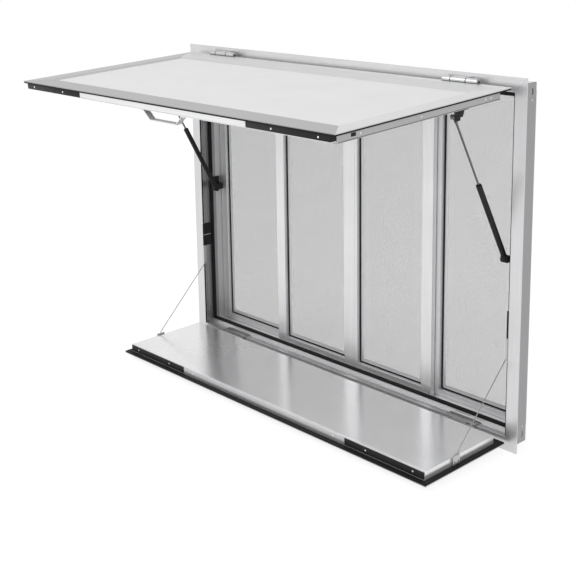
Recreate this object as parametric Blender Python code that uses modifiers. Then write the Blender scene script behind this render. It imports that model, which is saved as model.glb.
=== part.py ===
"""Concession window for a food trailer: a flanged aluminium casing with four sliding screen sashes,
an awning hatch on two top hinges with gas struts, and a fold-down serving shelf on two cables.

Lengths are in millimetres and become metres where points are made.
X runs to the right seen from outside, Y runs into the wall, Z is up.
Casing lengths start at the bottom edge of the flange's front face, and the origin lies behind that
face, on the flange's back. The hatch and the shelf are drawn open, about their own hinge axes.
"""

import math

import bmesh
import bpy
from mathutils import Vector

MM = 0.001

# Clearances, how far a cutter runs past what it cuts, and the sides of a round piece
TOUCH = 0.3
RUN = 0.5
OVERCUT = 1.0
ROUND_SIDES = 24
HOLE_SIDES = 12
HINGE_HOLE_SIDES = 16

# Casing
FLANGE_W = 1250.0
FLANGE_H = 924.0
FLANGE_T = 2.5
FLANGE_BAND = 33.5
MOUNT_UP = 7.0
OVERHANG = 14.0
CASING_DEPTH = 56.0
CASING_WALL = 3.0
LINE_GROOVE = (10.0, 11.5, 0.8)
WIDE_GROOVE = (19.0, 23.5, 1.6)
MITRE_GAP = 0.3
FLANGE_HOLE_R = 2.2
FLANGE_HOLE_IN = 6.5
FLANGE_HOLE_END = 92.0
SIDE_SLOT = (5.0, 15.0)
SIDE_SLOT_Y = 41.0
SIDE_SLOT_IN = 35.0

# Half the width and the top of the clear opening inside the flange's band
INNER_X = FLANGE_W / 2 - FLANGE_BAND
INNER_HIGH = FLANGE_H - FLANGE_BAND

# Door seal and the sill track that carries it
TRACK_FRONT = 32.0
TRACK_FLOOR = 4.0
TRACK_LIP = 7.0
LIP_T = 3.0
SEAL_HEIGHT = 8.5
SEAL_DEPTH = 9.0
SEAL_ROUND = 2.5

# Window frame and sashes
SASH_FACE = 56.0
SASH_RUN = 1.0
SASH_RECESS = 12.5
REBATE_T = 1.5
REBATE_W = 13.5
SCREEN_T = 0.8
SASH_DEPTH = SASH_RECESS + REBATE_T + TOUCH + SCREEN_T
RAIL_TOP = 55.0
SASH_GROOVE = (1.5, 4.0, 1.2)
FRAME_BACK = 92.0
FRAME_STEP = 7.5
REAR_SASH_RUN = 2.0
REAR_SASH_OUT = INNER_X - FRAME_STEP - REAR_SASH_RUN
REAR_SASH_SHIFT = 8.0
REAR_SASH = (REAR_SASH_OUT / 2 - REAR_SASH_SHIFT, REAR_SASH_OUT)
REAR_STILES = (34.0, 24.0)
SASH_LAP = 20.0
FRONT_SASH_EDGE = REAR_SASH[0] + SASH_LAP
FRONT_STILE = 34.0
MEETING_STILE = 41.2
SLIM_STILE = 9.0

# Serving shelf, out along it and up from its hinge axis: its skin laps the flange all round
SHELF_AXIS = (-7.0, 27.0)
SHELF_DROOP_DEG = 0.9
SHELF_BOTTOM = -7.0
SHELF_THICK = 27.0
SHELF_LAP = 4.5
SHELF_HALF_W = INNER_X + SHELF_LAP
SHELF_BACK = 2.5
SHELF_FRONT = 300.0
SHELF_SIDE_RUN = 10.7
SHELF_BODY_HALF = INNER_X - SHELF_SIDE_RUN
SHELF_BODY_BACK = 27.2
SHELF_LIP = 16.3
SHELF_BODY_FRONT = SHELF_FRONT - SHELF_LIP
FOLD_ROUND = 1.2

# Awning hatch, out along it and up from its hinge axis: closed, it ends just above the shelf
HATCH_AXIS_OUT = 17.0
HATCH_AXIS_DOWN = 18.0
HATCH_AXIS = (-HATCH_AXIS_OUT, FLANGE_H - HATCH_AXIS_DOWN)
HATCH_DROOP_DEG = 3.4
HATCH_TOP = -3.2
HATCH_THICK = 26.0
HATCH_LAP = 4.0
HATCH_HALF_W = INNER_X + HATCH_LAP
HATCH_BACK = 2.5
LEAF_GAP = 6.5
HATCH_FRONT = HATCH_AXIS[1] - SHELF_AXIS[1] - SHELF_FRONT - LEAF_GAP
HATCH_SIDE_RUN = 10.5
HATCH_BODY_HALF = INNER_X - HATCH_SIDE_RUN
HATCH_BODY_BACK = 27.0
HATCH_LIP = 18.0
HATCH_BODY_FRONT = HATCH_FRONT - HATCH_LIP
BORDER_FRONT = 58.0
BORDER_SIDE = 48.0
BORDER_BACK = 72.0
BEVEL_W = 8.0
PANEL_DROP = 4.0
PANEL_UP = 1.0

# Skins, rims and edge strips of both leaves
PLATE_T = 2.0
RIM_T = 3.5
RIM_LIP = 1.0
SHEET_T = 1.5
STRIP_T = 1.2
STRIP_LOW = 2.0
STRIP_SIDE = 258.0
STRIP_HALF = HATCH_BODY_HALF - STRIP_SIDE

# Hinges
HATCH_HINGE_IN = 179.0
SHELF_HINGE_IN = 176.0
HATCH_HINGE_X = FLANGE_W / 2 - HATCH_HINGE_IN
SHELF_HINGE_X = FLANGE_W / 2 - SHELF_HINGE_IN
HATCH_HINGE_HALF = 52.5
SHELF_HINGE_HALF = 49.0
HATCH_BARREL_R = 8.0
SHELF_BARREL_R = 7.0
LEAF_T = 2.0
HATCH_CURL_DEG = 315.0
SHELF_CURL_END_DEG = -150.0
SHELF_CURL_INNER_DEG = 168.0
HATCH_KNUCKLES = (-29.5, 19.5)
SHELF_KNUCKLES = (-24.0, 24.0)
HATCH_UPSTAND = 10.0
SHELF_LEAF_END = 24.0
FLAP = 14.0
PIN_END = 1.5
HINGE_HOLES = (-36.0, 0.0, 36.0)
HINGE_HOLE_Y = 11.0
HINGE_HOLE_R = 2.6
NOTCH = 1.5
NOTCH_PAST = 10.0
LEAF_BEND = 1.0

# Gas struts
STRUT_IN = 36.5
STRUT_X = INNER_X - STRUT_IN
STRUT_FOOT_Y = 28.0
STRUT_FOOT_DOWN = 428.0
STRUT_FOOT = (STRUT_FOOT_Y, HATCH_AXIS[1] - STRUT_FOOT_DOWN)
STRUT_HEAD = (160.2, -48.6)
TUBE_R = 7.0
TUBE_EDGE = 1.0
TUBE_TOP = 228.0
TUBE_BORE_R = 4.6
TUBE_FLOOR = 24.0
ROD_R = 4.0
ROD_IN = 40.0
STRUT_END_R = 10.0
ROD_END_R = 6.0
STRUT_END_T = 14.6

# The strut's foot bracket: a wall plate, an arm past the seal and a tongue to the pivot
FOOT_PLATE_Y = (46.0, 68.0)
FOOT_PLATE_Z = (-15.0, 27.0)
FOOT_ARM_Y = (50.0, 62.0)
FOOT_ARM_HALF = 9.0
TONGUE_T = 4.0
TONGUE_LEAD = 7.0
TONGUE_HALF = 8.0
TONGUE_SHORT = 2.0
PLATE_ROOT = 1.0

# The strut's head bracket, and the pocket in the hatch that clears the head on its way
HEAD_FOOT_HALF = 22.0
HEAD_FOOT_T = 2.0
HEAD_FOOT_EDGE = 3.0
EAR_T = 2.5
EAR_HALF = 9.0
EAR_DROP = 8.0
POCKET_LONG = 70.0
POCKET_CLEAR = 4.2
POCKET_OUT = (STRUT_HEAD[0] - POCKET_CLEAR - POCKET_LONG, STRUT_HEAD[0] - POCKET_CLEAR)
POCKET_DEEP = 13.5
POCKET_RUN = 0.8

# Latch blocks where the closed leaves meet, cable eyes below them, and cables
LATCH_Y = (-1.5, 28.0)
LATCH_BELOW = 37.0
LATCH_ABOVE = 33.0
SHELF_TIP = SHELF_AXIS[1] + SHELF_FRONT
LATCH_Z = (SHELF_TIP - LATCH_BELOW, SHELF_TIP + LATCH_ABOVE)
LATCH_T = 4.4
LATCH_ROUND = 0.8
CABLE_R = 1.2
CABLE_IN = 6.3
CABLE_X = INNER_X - CABLE_IN
CABLE_DROP = 52.0
CABLE_TOP = (3.0, LATCH_Z[0] - CABLE_DROP)
EYE_HALF = 5.0
EYE_BELOW = 6.0
CLIP_OUT = (163.0, 188.0)
CLIP_UP = 24.0
CLIP_REACH = 5.2
CLIP_ROUND = 0.6

# Bail handle
HANDLE_IN = 27.5
HANDLE_OUT = HATCH_FRONT - HANDLE_IN
HANDLE_HALF_W = 75.0
HANDLE_GRIP_HALF = 50.0
HANDLE_DROP = 23.0
HANDLE_R = 4.0
HANDLE_SHANK = 5.0
HANDLE_BEND = (5.0, 2.0)

for old in list(bpy.data.objects):
    bpy.data.objects.remove(old, do_unlink=True)
for old in list(bpy.data.collections):
    bpy.data.collections.remove(old)

PART = bpy.data.collections.new("concession_window")
CUTTERS = bpy.data.collections.new("cutters")
bpy.context.scene.collection.children.link(PART)
bpy.context.scene.collection.children.link(CUTTERS)
CUTTERS.hide_render = True


def material(name, colour, rough, metal):
    made = bpy.data.materials.new(name)
    made.use_nodes = True
    shader = made.node_tree.nodes["Principled BSDF"]
    shader.inputs["Base Color"].default_value = (*colour, 1.0)
    shader.inputs["Roughness"].default_value = rough
    shader.inputs["Metallic"].default_value = metal
    made.diffuse_color = (*colour, 1.0)
    return made


ALUMINIUM = material("satin_aluminium", (0.72, 0.72, 0.73), 0.38, 1.0)
PANEL = material("pale_panel", (0.80, 0.80, 0.80), 0.45, 0.2)
BRUSHED = material("brushed_aluminium", (0.62, 0.62, 0.63), 0.32, 1.0)
RUBBER = material("black_rubber", (0.02, 0.02, 0.02), 0.75, 0.0)
BLACK = material("black_plastic", (0.03, 0.03, 0.03), 0.45, 0.0)
STEEL = material("bright_steel", (0.78, 0.78, 0.78), 0.2, 1.0)
MESH = material("grey_screen", (0.55, 0.56, 0.57), 0.7, 0.0)


def pivot(name, y, z, tilt=0.0):
    """An empty on the X axis line through (y, z) of the casing, tilted in degrees."""
    empty = bpy.data.objects.new(name, None)
    empty.location = (0.0, (y - FLANGE_T) * MM, (z - MOUNT_UP) * MM)
    empty.rotation_euler = (math.radians(tilt), 0.0, 0.0)
    PART.objects.link(empty)
    return empty


CASING = pivot("casing_datum", 0.0, 0.0)
HATCH = pivot("hatch_axis", *HATCH_AXIS, HATCH_DROOP_DEG)
SHELF = pivot("shelf_axis", *SHELF_AXIS, SHELF_DROOP_DEG)
HATCH_WALL = pivot("hatch_axis_on_wall", *HATCH_AXIS)
SHELF_WALL = pivot("shelf_axis_on_wall", *SHELF_AXIS)


def finish(bm, name, parent, look):
    """Turns a bmesh into a node, or into a cutter where it has no look."""
    bmesh.ops.recalc_face_normals(bm, faces=bm.faces)
    mesh = bpy.data.meshes.new(name)
    bm.to_mesh(mesh)
    bm.free()
    obj = bpy.data.objects.new(name, mesh)
    obj.parent = parent
    if look is None:
        CUTTERS.objects.link(obj)
        obj.hide_render = True
        obj.display_type = "WIRE"
        return obj
    mesh.materials.append(look)
    PART.objects.link(obj)
    return obj


def casing_point(x, z, y):
    """Casing directions: across, up, into the wall."""
    return Vector((x, y, z)) * MM


def leaf_point(x, out, up):
    """Directions of the hatch and the shelf: across, out from the hinge, up from the hinge."""
    return Vector((x, -out, up)) * MM


def inset(rect, sides, ends=None):
    """A rectangle (left, right, low, high) moved inwards."""
    ends = sides if ends is None else ends
    return (rect[0] + sides, rect[1] - sides, rect[2] + ends, rect[3] - ends)


def corners(rect):
    return ((rect[0], rect[2]), (rect[1], rect[2]), (rect[1], rect[3]), (rect[0], rect[3]))


def mitred_ring(name, parent, look, place, section):
    """A frame of one section, mitred at four corners; a section point is (rectangle, depth)."""
    bm = bmesh.new()
    loops = []
    for corner in range(4):
        loops.append([bm.verts.new(place(*corners(rect)[corner], depth)) for rect, depth in section])
    edges = [[bm.edges.new((loop[i - 1], loop[i])) for i in range(len(loop))] for loop in loops]
    for corner in range(4):
        bmesh.ops.bridge_loops(bm, edges=edges[corner - 1] + edges[corner])
    return finish(bm, name, parent, look)


def mitred_bar(name, parent, look, place, section, side):
    """One side of such a frame, cut short by half the mitre gap at each end."""
    turn = ((1, 0), (0, 1), (-1, 0), (0, -1))[side]
    bm = bmesh.new()
    ends = []
    for corner, back in ((side, MITRE_GAP / 2), ((side + 1) % 4, -MITRE_GAP / 2)):
        loop = []
        for rect, depth in section:
            a, b = corners(rect)[corner]
            loop.append(bm.verts.new(place(a + turn[0] * back, b + turn[1] * back, depth)))
        ends.append(bm.faces.new(loop))
    bmesh.ops.bridge_loops(bm, edges=ends[0].edges[:] + ends[1].edges[:])
    return finish(bm, name, parent, look)


def extrusion(name, parent, look, outline, x0, x1):
    """An outline of (y, z) points carried along X."""
    bm = bmesh.new()
    face = bm.faces.new([bm.verts.new(Vector((x0, y, z)) * MM) for y, z in outline])
    grown = bmesh.ops.extrude_face_region(bm, geom=[face])["geom"]
    moved = [item for item in grown if isinstance(item, bmesh.types.BMVert)]
    bmesh.ops.translate(bm, vec=Vector((x1 - x0, 0.0, 0.0)) * MM, verts=moved)
    return finish(bm, name, parent, look)


def add_block(bm, x, y, z):
    """A box between two X, two Y and two Z values."""
    made = bmesh.ops.create_cube(bm, size=1.0)["verts"]
    bmesh.ops.scale(bm, vec=Vector((x[1] - x[0], y[1] - y[0], z[1] - z[0])) * MM, verts=made)
    bmesh.ops.translate(bm, vec=Vector((x[0] + x[1], y[0] + y[1], z[0] + z[1])) * MM / 2, verts=made)
    return made


def block(name, parent, look, x, y, z, bevel=0.0):
    bm = bmesh.new()
    add_block(bm, x, y, z)
    if bevel:
        bmesh.ops.bevel(bm, geom=bm.edges[:], offset=bevel * MM, segments=2, affect="EDGES", profile=0.5)
    return finish(bm, name, parent, look)


def add_rod(bm, start, end, radius, sides=20):
    """A round bar between two points."""
    a, b = Vector(start) * MM, Vector(end) * MM
    made = bmesh.ops.create_cone(
        bm, cap_ends=True, segments=sides, radius1=radius * MM, radius2=radius * MM, depth=(b - a).length
    )["verts"]
    bmesh.ops.transform(bm, matrix=(b - a).to_track_quat("Z", "Y").to_matrix().to_4x4(), verts=made)
    bmesh.ops.translate(bm, vec=(a + b) / 2, verts=made)


def rod(name, parent, look, start, end, radius, sides=20):
    bm = bmesh.new()
    add_rod(bm, start, end, radius, sides)
    return finish(bm, name, parent, look)


def boolean(obj, tool, operation):
    step = obj.modifiers.new(operation.lower() + "_" + tool.name, "BOOLEAN")
    step.operation = operation
    step.solver = "EXACT"
    step.object = tool


def arc(radius, start, end, steps):
    """Points about the axis, from start to end degrees, measured from +Y towards +Z."""
    turns = [math.radians(start + (end - start) * i / steps) for i in range(steps + 1)]
    return [(radius * math.cos(turn), radius * math.sin(turn)) for turn in turns]


# Casing: four mitred bars, each a flange, an outer wall and a grooved reveal wall
FLANGE = (-FLANGE_W / 2, FLANGE_W / 2, 0.0, FLANGE_H)
REVEAL = inset(FLANGE, FLANGE_BAND)
CASING_SIDES = ("sill", "jamb_right", "head", "jamb_left")


def casing_section():
    outer = inset(FLANGE, OVERHANG)
    outer_inside = inset(outer, CASING_WALL)
    behind = inset(REVEAL, -CASING_WALL)
    section = [(FLANGE, 0.0), (REVEAL, 0.0)]
    for start, end, depth in (LINE_GROOVE, WIDE_GROOVE):
        cut = inset(REVEAL, -depth)
        section += [(REVEAL, start), (cut, start), (cut, end), (REVEAL, end)]
    section += [(REVEAL, CASING_DEPTH), (behind, CASING_DEPTH), (behind, FLANGE_T)]
    section += [(outer_inside, FLANGE_T), (outer_inside, CASING_DEPTH), (outer, CASING_DEPTH)]
    section += [(outer, FLANGE_T), (FLANGE, FLANGE_T)]
    return section


def flange_holes(bar, side):
    """Screw holes in the head and the sill band, at the middle and near both ends."""
    z = FLANGE_HOLE_IN if side == 0 else FLANGE_H - FLANGE_HOLE_IN
    end = FLANGE_W / 2 - FLANGE_HOLE_END
    for x in (-end, 0.0, end):
        name = f"{bar.name}_hole_{x:.0f}"
        tool = rod(name, CASING, None, (x, -RUN, z), (x, FLANGE_T + RUN, z), FLANGE_HOLE_R, HOLE_SIDES)
        boolean(bar, tool, "DIFFERENCE")


def side_slots(bar, side):
    """Upright slots through a jamb's outer wall, near the sill and near the head."""
    wide, high = SIDE_SLOT
    straight = (high - wide) / 2
    top = [(SIDE_SLOT_Y + y, straight + z) for y, z in arc(wide / 2, 0.0, 180.0, 6)]
    bottom = [(SIDE_SLOT_Y + y, z - straight) for y, z in arc(wide / 2, 180.0, 360.0, 6)]
    wall = FLANGE_W / 2 - OVERHANG
    sign = 1 if side == 1 else -1
    x0, x1 = sorted((sign * (wall + RUN), sign * (wall - CASING_WALL - RUN)))
    for middle in (SIDE_SLOT_IN, FLANGE_H - SIDE_SLOT_IN):
        outline = [(y, middle + z) for y, z in top + bottom]
        tool = extrusion(f"{bar.name}_slot_{middle:.0f}", CASING, None, outline, x0, x1)
        boolean(bar, tool, "DIFFERENCE")


for side, label in enumerate(CASING_SIDES):
    bar = mitred_bar(f"casing_{label}", CASING, ALUMINIUM, casing_point, casing_section(), side)
    if side in (0, 2):
        flange_holes(bar, side)
    else:
        side_slots(bar, side)


# Window frame behind the casing: its step carries the rear pair of sashes
SASH_LOW = FLANGE_BAND + TOUCH + TRACK_FLOOR + RUN
REAR_FACE = SASH_FACE + SASH_DEPTH + SASH_RUN
STEP_Y = REAR_FACE - SASH_RUN / 2
FRAME_INNER = inset(REVEAL, FRAME_STEP)


def window_frame():
    behind = inset(REVEAL, -CASING_WALL)
    section = [(behind, CASING_DEPTH + TOUCH), (REVEAL, CASING_DEPTH + TOUCH), (REVEAL, STEP_Y)]
    section += [(FRAME_INNER, STEP_Y), (FRAME_INNER, FRAME_BACK)]
    section += [(inset(FRAME_INNER, -CASING_WALL), FRAME_BACK)]
    section += [(inset(FRAME_INNER, -CASING_WALL), STEP_Y + CASING_WALL), (behind, STEP_Y + CASING_WALL)]
    mitred_ring("track_frame", CASING, ALUMINIUM, casing_point, section)


def front_track(name, up, start):
    """The channel before the step: a lip under the seal and a floor for the front sashes."""
    lip = TRACK_FRONT + LIP_T
    outline = [(TRACK_FRONT, 0.0), (STEP_Y - TOUCH, 0.0), (STEP_Y - TOUCH, TRACK_FLOOR)]
    outline += [(lip, TRACK_FLOOR), (lip, TRACK_LIP), (TRACK_FRONT, TRACK_LIP)]
    placed = [(y, start + up * (TOUCH + z)) for y, z in outline]
    extrusion(name, CASING, ALUMINIUM, placed, TOUCH - INNER_X, INNER_X - TOUCH)


window_frame()
front_track("track_sill", 1, FLANGE_BAND)
front_track("track_head", -1, INNER_HIGH)


# Door seal: a rubber strip on the jambs and on the lips of both tracks
def door_seal():
    outer = inset(FLANGE, FLANGE_BAND + TOUCH, FLANGE_BAND + TRACK_LIP + 2 * TOUCH)
    inner = inset(outer, SEAL_HEIGHT)
    crown = inset(inner, -SEAL_ROUND)
    back = TRACK_FRONT + SEAL_DEPTH
    section = [(outer, TRACK_FRONT), (crown, TRACK_FRONT), (inner, TRACK_FRONT + SEAL_ROUND)]
    section += [(inner, back - SEAL_ROUND), (crown, back), (outer, back)]
    mitred_ring("door_seal", CASING, RUBBER, casing_point, section)


door_seal()


# Sliding sashes, numbered from the left: the outer pair runs behind the middle pair
def sash(number, face, left, right, low):
    """left and right are (outer edge, inner edge) in X; low is the bottom of the bottom rail."""
    outer = (left[0], right[0], low, FLANGE_H - low)
    inner = (left[1], right[1], RAIL_TOP, FLANGE_H - RAIL_TOP)
    seat = face + SASH_RECESS
    rebate = inset(inner, REBATE_W)
    groove = inset(inner, -SASH_GROOVE[2])
    groove_in, groove_out = face + SASH_GROOVE[0], face + SASH_GROOVE[1]
    section = [(outer, face), (inner, face)]
    section += [(inner, groove_in), (groove, groove_in), (groove, groove_out), (inner, groove_out)]
    section += [(inner, seat), (rebate, seat), (rebate, seat + REBATE_T)]
    section += [(outer, seat + REBATE_T)]
    mitred_ring(f"sash_{number}", CASING, ALUMINIUM, casing_point, section)
    sheet = inset(rebate, -REBATE_W / 2)
    depth = (seat + REBATE_T + TOUCH, seat + REBATE_T + TOUCH + SCREEN_T)
    block(f"screen_{number}", CASING, MESH, sheet[:2], depth, sheet[2:])


REAR_LOW = FLANGE_BAND + FRAME_STEP + RUN
edge = FRONT_SASH_EDGE
wide = MEETING_STILE / 2
rear_in, rear_out = REAR_SASH
inner_stile, outer_stile = REAR_STILES
sash(1, REAR_FACE, (-rear_out, -rear_out + outer_stile), (-rear_in, -rear_in - inner_stile), REAR_LOW)
sash(2, SASH_FACE, (-edge, -edge + FRONT_STILE), (wide, -wide), SASH_LOW)
sash(3, SASH_FACE, (wide + RUN, wide + RUN + SLIM_STILE), (edge, edge - FRONT_STILE), SASH_LOW)
sash(4, REAR_FACE, (rear_in, rear_in + inner_stile), (rear_out, rear_out - outer_stile), REAR_LOW)


# Latch blocks, cable eyes and strut brackets on the jambs
def jamb_piece(side):
    """A function that turns distances from the jamb wall into an ordered pair of X values."""
    sign = -1 if side == "left" else 1
    return lambda near, far: sorted((sign * (INNER_X - near), sign * (INNER_X - far)))


for side in ("left", "right"):
    reach = jamb_piece(side)
    latch_x = reach(TOUCH, TOUCH + LATCH_T)
    block(f"latch_block_{side}", CASING, BLACK, latch_x, LATCH_Y, LATCH_Z, LATCH_ROUND)
    eye_depth = INNER_X - CABLE_X - CABLE_R - TOUCH
    top_y, top_z = CABLE_TOP
    eye_y = (top_y - EYE_HALF, top_y + EYE_HALF)
    eye_z = (top_z - EYE_BELOW, LATCH_Z[0] - TOUCH)
    block(f"cable_eye_{side}", CASING, STEEL, reach(TOUCH, eye_depth), eye_y, eye_z)
    foot_y, foot_z = STRUT_FOOT
    arm_face = INNER_X - STRUT_X - STRUT_END_T / 2 - TOUCH
    name = f"strut_bracket_{side}"
    plate_z = (foot_z + FOOT_PLATE_Z[0], foot_z + FOOT_PLATE_Z[1])
    bracket = block(name, CASING, BLACK, reach(TOUCH, TOUCH + CASING_WALL), FOOT_PLATE_Y, plate_z)
    arm_z = (foot_z - FOOT_ARM_HALF, foot_z + FOOT_ARM_HALF)
    arm = block(name + "_arm", CASING, None, reach(PLATE_ROOT, arm_face), FOOT_ARM_Y, arm_z)
    tongue_y = (foot_y - TONGUE_LEAD, FOOT_ARM_Y[1] - TONGUE_SHORT)
    tongue_z = (foot_z - TONGUE_HALF, foot_z + TONGUE_HALF)
    tongue = block(name + "_tongue", CASING, None, reach(arm_face - TONGUE_T, arm_face), tongue_y, tongue_z)
    boolean(bracket, arm, "UNION")
    boolean(bracket, tongue, "UNION")


# Awning hatch: a boxed frame under a raised mitred border, a flat panel between and a rubber rim
HATCH_LOW = HATCH_TOP - HATCH_THICK
RIM_TOP = HATCH_TOP - PLATE_T
SKIN = (-HATCH_HALF_W, HATCH_HALF_W, HATCH_BACK, HATCH_FRONT)
BODY = (-HATCH_BODY_HALF, HATCH_BODY_HALF, HATCH_BODY_BACK, HATCH_BODY_FRONT)
BORDERS = (BORDER_SIDE, -BORDER_SIDE, BORDER_BACK, -BORDER_FRONT)
FLAT_IN = tuple(edge + width for edge, width in zip(SKIN, BORDERS))
PANEL_EDGE = tuple(edge + width * BEVEL_W / BORDER_SIDE for edge, width in zip(FLAT_IN, BORDERS))


def rim(name, parent, outer, body, plate_face, away):
    """The rubber under a plate's edge, from the plate's rim to the body."""
    start = plate_face + away * TOUCH
    end = start + away * RIM_T
    lip = inset(outer, RIM_LIP)
    seat = inset(body, -TOUCH)
    section = [(inset(outer, RIM_LIP / 2), start), (lip, end), (seat, end), (seat, start)]
    mitred_ring(name, parent, RUBBER, leaf_point, section)


def hatch_skin():
    low = HATCH_LOW
    dropped = HATCH_TOP - PANEL_DROP
    section = [(SKIN, HATCH_TOP), (FLAT_IN, HATCH_TOP), (PANEL_EDGE, dropped)]
    section += [(PANEL_EDGE, dropped - PLATE_T), (FLAT_IN, RIM_TOP), (SKIN, RIM_TOP)]
    under = RIM_TOP - TOUCH
    body = [(BODY, under), (FLAT_IN, under), (PANEL_EDGE, under - PANEL_DROP)]
    body += [(PANEL_EDGE, low), (BODY, low)]
    mitred_ring("awning_frame", HATCH, ALUMINIUM, leaf_point, body)
    for side, label in enumerate(("back", "right", "front", "left")):
        mitred_bar(f"awning_rail_{label}", HATCH, ALUMINIUM, leaf_point, section, side)
    inner = inset(PANEL_EDGE, TOUCH)
    panel_z = (low + PANEL_UP, HATCH_TOP - PANEL_DROP)
    block("awning_panel", HATCH, PANEL, inner[:2], (-inner[3], -inner[2]), panel_z)
    rim("awning_seal", HATCH, SKIN, BODY, RIM_TOP, -1)


hatch_skin()


# Serving shelf: a sheet-metal top folded over a flat core, a skin plate below and its rubber rim
SHELF_TOP = SHELF_BOTTOM + SHELF_THICK
SHELF_RIM_BASE = SHELF_BOTTOM + PLATE_T
SHELF_SKIN = (-SHELF_HALF_W, SHELF_HALF_W, SHELF_BACK, SHELF_FRONT)
SHELF_BODY = (-SHELF_BODY_HALF, SHELF_BODY_HALF, SHELF_BODY_BACK, SHELF_BODY_FRONT)


def shelf_leaf():
    top = SHELF_TOP
    base = SHELF_RIM_BASE + TOUCH
    skin_up = (SHELF_BOTTOM, SHELF_RIM_BASE)
    block("shelf_skin", SHELF, PANEL, SHELF_SKIN[:2], (-SHELF_FRONT, -SHELF_BACK), skin_up)
    core = inset(SHELF_BODY, SHEET_T + TOUCH)
    core_up = (base, top - SHEET_T - TOUCH)
    block("shelf_core", SHELF, ALUMINIUM, core[:2], (-core[3], -core[2]), core_up)
    bm = bmesh.new()
    tray = add_block(bm, SHELF_BODY[:2], (-SHELF_BODY_FRONT, -SHELF_BODY_BACK), (base, top))
    long_edges = [edge for edge in bm.edges if all(abs(v.co.z - top * MM) < 1e-6 for v in edge.verts)]
    bmesh.ops.bevel(bm, geom=long_edges, offset=FOLD_ROUND * MM, segments=2, affect="EDGES", profile=0.5)
    tray = finish(bm, "shelf_top", SHELF, BRUSHED)
    hollow = inset(SHELF_BODY, SHEET_T)
    inside = (base - OVERCUT, top - SHEET_T)
    tool = block("shelf_top_hollow", SHELF, None, hollow[:2], (-hollow[3], -hollow[2]), inside)
    boolean(tray, tool, "DIFFERENCE")
    rim("shelf_seal", SHELF, SHELF_SKIN, SHELF_BODY, SHELF_RIM_BASE, 1)


shelf_leaf()


# Edge strips on the front faces: a silver middle and black ends
def edge_strips(prefix, parent, half_w, front, low, high):
    face = -(front + TOUCH)
    gap = TOUCH / 2
    end = half_w - STRIP_T
    parts = (
        ("strip_left", BLACK, -end, -STRIP_HALF - gap),
        ("strip_middle", ALUMINIUM, -STRIP_HALF + gap, STRIP_HALF - gap),
        ("strip_right", BLACK, STRIP_HALF + gap, end),
    )
    for label, look, x0, x1 in parts:
        block(f"{prefix}_{label}", parent, look, (x0, x1), (face - STRIP_T, face), (low, high))


RIM_STACK = RIM_T + 2 * TOUCH + STRIP_T
edge_strips("awning", HATCH, HATCH_BODY_HALF, HATCH_BODY_FRONT, HATCH_LOW + STRIP_LOW, RIM_TOP - RIM_STACK)
edge_strips(
    "shelf", SHELF, SHELF_BODY_HALF, SHELF_BODY_FRONT, SHELF_RIM_BASE + RIM_STACK, SHELF_TOP - STRIP_LOW
)


# Bail handle under the hatch's front rail
def bail_handle():
    seat = HATCH_LOW - TOUCH
    bottom = seat - HANDLE_DROP + HANDLE_R
    curve = bpy.data.curves.new("awning_handle", "CURVE")
    curve.dimensions = "3D"
    curve.bevel_depth = HANDLE_R * MM
    curve.bevel_resolution = 3
    curve.use_fill_caps = True
    spline = curve.splines.new("POLY")
    bend_x, bend_up = HANDLE_BEND
    half = [(HANDLE_HALF_W, seat), (HANDLE_HALF_W, seat - HANDLE_SHANK)]
    half += [(HANDLE_GRIP_HALF + bend_x, bottom + bend_up), (HANDLE_GRIP_HALF, bottom)]
    route = [(-x, up) for x, up in half] + [(x, up) for x, up in reversed(half)]
    spline.points.add(len(route) - 1)
    for point, (x, up) in zip(spline.points, route):
        point.co = (*leaf_point(x, HANDLE_OUT, up), 1.0)
    handle = bpy.data.objects.new("awning_handle", curve)
    curve.materials.append(ALUMINIUM)
    handle.parent = HATCH
    PART.objects.link(handle)


bail_handle()


# Leaf hinges: the wall's leaf carries the middle knuckle and the pin, the moving leaf the outer two
def rolled_leaf(name, parent, outline, centre, half, windows):
    """A leaf of one outline, with windows (X pair, Y pair, Z pair) cut for the other leaf's knuckles."""
    leaf = extrusion(name, parent, STEEL, outline, centre - half, centre + half)
    for i, (x, y, z) in enumerate(windows):
        box = (centre + x[0] - RUN / 2, centre + x[1] + RUN / 2)
        boolean(leaf, block(f"{name}_window_{i}", parent, None, box, y, z), "DIFFERENCE")
    return leaf


def hinge_pin(leaf, parent, centre, half, radius, knuckle):
    """The pin, pressed into the middle knuckle and free in the outer two."""
    ends = (centre - half - PIN_END, 0, 0), (centre + half + PIN_END, 0, 0)
    pin = rod(leaf.name + "_pin", parent, None, *ends, radius - LEAF_T - TOUCH, ROUND_SIDES)
    boolean(leaf, pin, "UNION")
    ends = (centre + knuckle[0] + RUN, 0, 0), (centre + knuckle[1] - RUN, 0, 0)
    press = rod(leaf.name + "_press", parent, None, *ends, radius - LEAF_T / 2, ROUND_SIDES)
    boolean(leaf, press, "UNION")


def curl(radius, start):
    """The rolled end of a leaf, its outside then its inside."""
    end = start + HATCH_CURL_DEG
    return arc(radius, start, end, ROUND_SIDES) + arc(radius - LEAF_T, end, start, ROUND_SIDES)


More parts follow.
